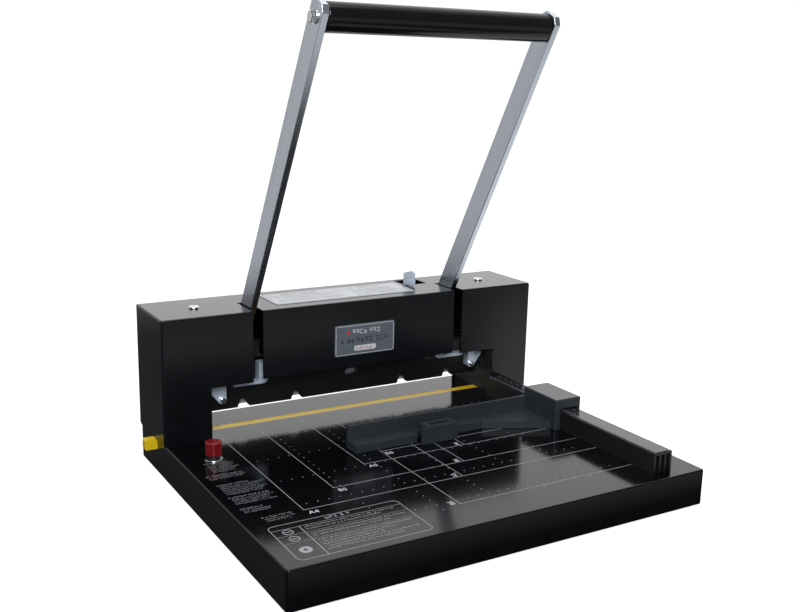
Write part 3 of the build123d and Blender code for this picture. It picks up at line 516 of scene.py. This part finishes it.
def add_floor():
    """A wide pale floor that the camera sees evenly white. To every other ray it is near black and glows
    by position, a glow that is no lamp:
    bright in front, to the right and far away, which paints reflections into the cutter's surfaces, and
    dark close to the cutter, which paints its shade."""
    corners = [(x * FLOOR_HALF, y * FLOOR_HALF, 0) for x, y in ((-1, -1), (1, -1), (1, 1), (-1, 1))]
    mesh = bpy.data.meshes.new("floor")
    mesh.from_pydata(corners, [], [(0, 1, 2, 3)])
    floor = bpy.data.objects.new("floor", mesh)
    bpy.context.scene.collection.objects.link(floor)
    floor_glow_paint = bpy.data.materials.new("floor_painted_glow")
    floor_glow_paint.use_nodes = True
    shader = floor_glow_paint.node_tree.nodes["Principled BSDF"]
    shader.inputs["Roughness"].default_value = 0.9
    shader.inputs["Specular IOR Level"].default_value = 0.1
    shader.inputs["Emission Color"].default_value = (1.0, 1.0, 1.0, 1.0)
    tree = floor_glow_paint.node_tree
    rays = tree.nodes.new("ShaderNodeLightPath")
    camera_ray = rays.outputs["Is Camera Ray"]
    place = tree.nodes.new("ShaderNodeTexCoord")
    away = tree.nodes.new("ShaderNodeVectorMath")
    away.operation = "LENGTH"
    link(tree, place.outputs["Object"], away.inputs[0])
    parts = tree.nodes.new("ShaderNodeSeparateXYZ")
    link(tree, place.outputs["Object"], parts.inputs["Vector"])
    # Painted glow for rays other than the camera's: far away, in front and to the right it shines into
    # the cutter's surfaces as painted reflections; close to the cutter it stays dark as painted shade.
    far = spread(tree, away.outputs["Value"], 0.0, 0.5, 0.75, 1.15)
    near_front = join(tree, "MULTIPLY", spread(tree, parts.outputs["Y"], 0.7, 0.0, -0.27, -0.19),
                      spread(tree, away.outputs["Value"], 1.0, 0.0, 0.36, 0.55))
    slant = tree.nodes.new("ShaderNodeVectorMath")
    slant.operation = "DOT_PRODUCT"
    slant.inputs[1].default_value = (1.0, 0.8, 0.0)
    link(tree, place.outputs["Object"], slant.inputs[0])
    near_right = join(tree, "MULTIPLY", spread(tree, slant.outputs["Value"], 0.0, 0.95, 0.17, 0.23),
                      spread(tree, away.outputs["Value"], 1.0, 0.0, 0.60, 0.90))
    near_right = join(tree, "MULTIPLY", near_right, spread(tree, parts.outputs["X"], 0.0, 1.0, 0.0, 0.1))
    near = join(tree, "MAXIMUM", near_front, near_right)
    painted_glow = join(tree, "MAXIMUM", near, far)
    # The camera sees an even emission; every other ray sees the painted glow.
    shown = tree.nodes.new("ShaderNodeMix")
    shown.inputs["B"].default_value = FLOOR_SEEN
    link(tree, camera_ray, shown.inputs["Factor"])
    link(tree, painted_glow, shown.inputs["A"])
    link(tree, shown.outputs["Result"], shader.inputs["Emission Strength"])
    # Base colour by ray: pale to the camera, near black to every other ray, which paints darkness into
    # reflections and bounce light.
    pale = tree.nodes.new("ShaderNodeMix")
    pale.data_type = "RGBA"
    pale.inputs["A"].default_value = (0.05, 0.05, 0.055, 1.0)
    pale.inputs["B"].default_value = (0.5, 0.5, 0.5, 1.0)
    link(tree, camera_ray, pale.inputs["Factor"])
    link(tree, pale.outputs["Result"], shader.inputs["Base Color"])
    mesh.materials.append(floor_glow_paint)


def add_light(name, place, aim, size, watts, colour):
    """A rectangular soft box that the camera does not see."""
    data = bpy.data.lights.new(name, "AREA")
    data.shape = "RECTANGLE"
    data.size, data.size_y = size
    data.energy = watts
    data.color = colour
    lamp = bpy.data.objects.new(name, data)
    lamp.location = place
    lamp.rotation_euler = (Vector(aim) - Vector(place)).to_track_quat("-Z", "Y").to_euler()
    lamp.visible_camera = False
    bpy.context.scene.collection.objects.link(lamp)


WALL_SEEN = 1.1


def light_studio():
    """A room with a bright white wall behind the cutter, darker to the left and dim in front, and
    soft boxes overhead and at the front left."""
    world = bpy.data.worlds.new("studio")
    bpy.context.scene.world = world
    world.use_nodes = True
    tree = world.node_tree
    background = tree.nodes["Background"]
    background.inputs["Color"].default_value = (1.0, 1.0, 1.0, 1.0)
    place = tree.nodes.new("ShaderNodeTexCoord")
    parts = tree.nodes.new("ShaderNodeSeparateXYZ")
    link(tree, place.outputs["Generated"], parts.inputs["Vector"])
    lit = spread(tree, parts.outputs["Y"], 0.16, 1.35, -0.35, 0.35)
    lit = join(tree, "MULTIPLY", lit, spread(tree, parts.outputs["X"], 0.42, 1.0, -0.30, 0.10))
    rays = tree.nodes.new("ShaderNodeLightPath")
    seen = tree.nodes.new("ShaderNodeMix")
    seen.inputs["B"].default_value = WALL_SEEN
    link(tree, rays.outputs["Is Camera Ray"], seen.inputs["Factor"])
    link(tree, lit, seen.inputs["A"])
    link(tree, seen.outputs["Result"], background.inputs["Strength"])
    middle = (0.0, 0.0, 0.1)
    add_light("overhead", (-0.2, -0.3, 1.9), middle, (1.6, 1.2), 14.0, (1.0, 1.0, 1.0))
    add_light("front", (-0.75, -1.5, 1.15), middle, (0.9, 0.9), 34.0, (0.93, 0.97, 1.0))


CAMERA_PLACE = (-0.4621, -0.7550, 0.3686)
CAMERA_AZIMUTH = radians(-30.66)
CAMERA_ELEVATION = radians(12.97)
CAMERA_ROLL = radians(1.29)
SENSOR_WIDE = 36.0
LENS = 45.92


def add_camera():
    """The camera stands low at the front left. Angles are its direction round the cutter, its
    height above the level and its roll."""
    azimuth, elevation, roll = CAMERA_AZIMUTH, CAMERA_ELEVATION, CAMERA_ROLL
    back = Vector((sin(azimuth) * cos(elevation), -cos(azimuth) * cos(elevation), sin(elevation)))
    level = Vector((0.0, 0.0, 1.0)).cross(back).normalized()
    upright = back.cross(level)
    across = level * cos(roll) + upright * sin(roll)
    up = upright * cos(roll) - level * sin(roll)
    turn = Matrix((across, up, back)).transposed().to_4x4()
    data = bpy.data.cameras.new("camera")
    data.sensor_width = SENSOR_WIDE
    data.lens = LENS
    camera = bpy.data.objects.new("camera", data)
    camera.matrix_world = Matrix.Translation(CAMERA_PLACE) @ turn
    bpy.context.scene.collection.objects.link(camera)
    bpy.context.scene.camera = camera


dress_nodes()
print_bed()
print_instructions()
print_panel()
print_rail_scale()
print_top_label()
print_badge()
print_clamp_note()
add_floor()
light_studio()
add_camera()
bpy.context.scene.view_settings.view_transform = "Standard"
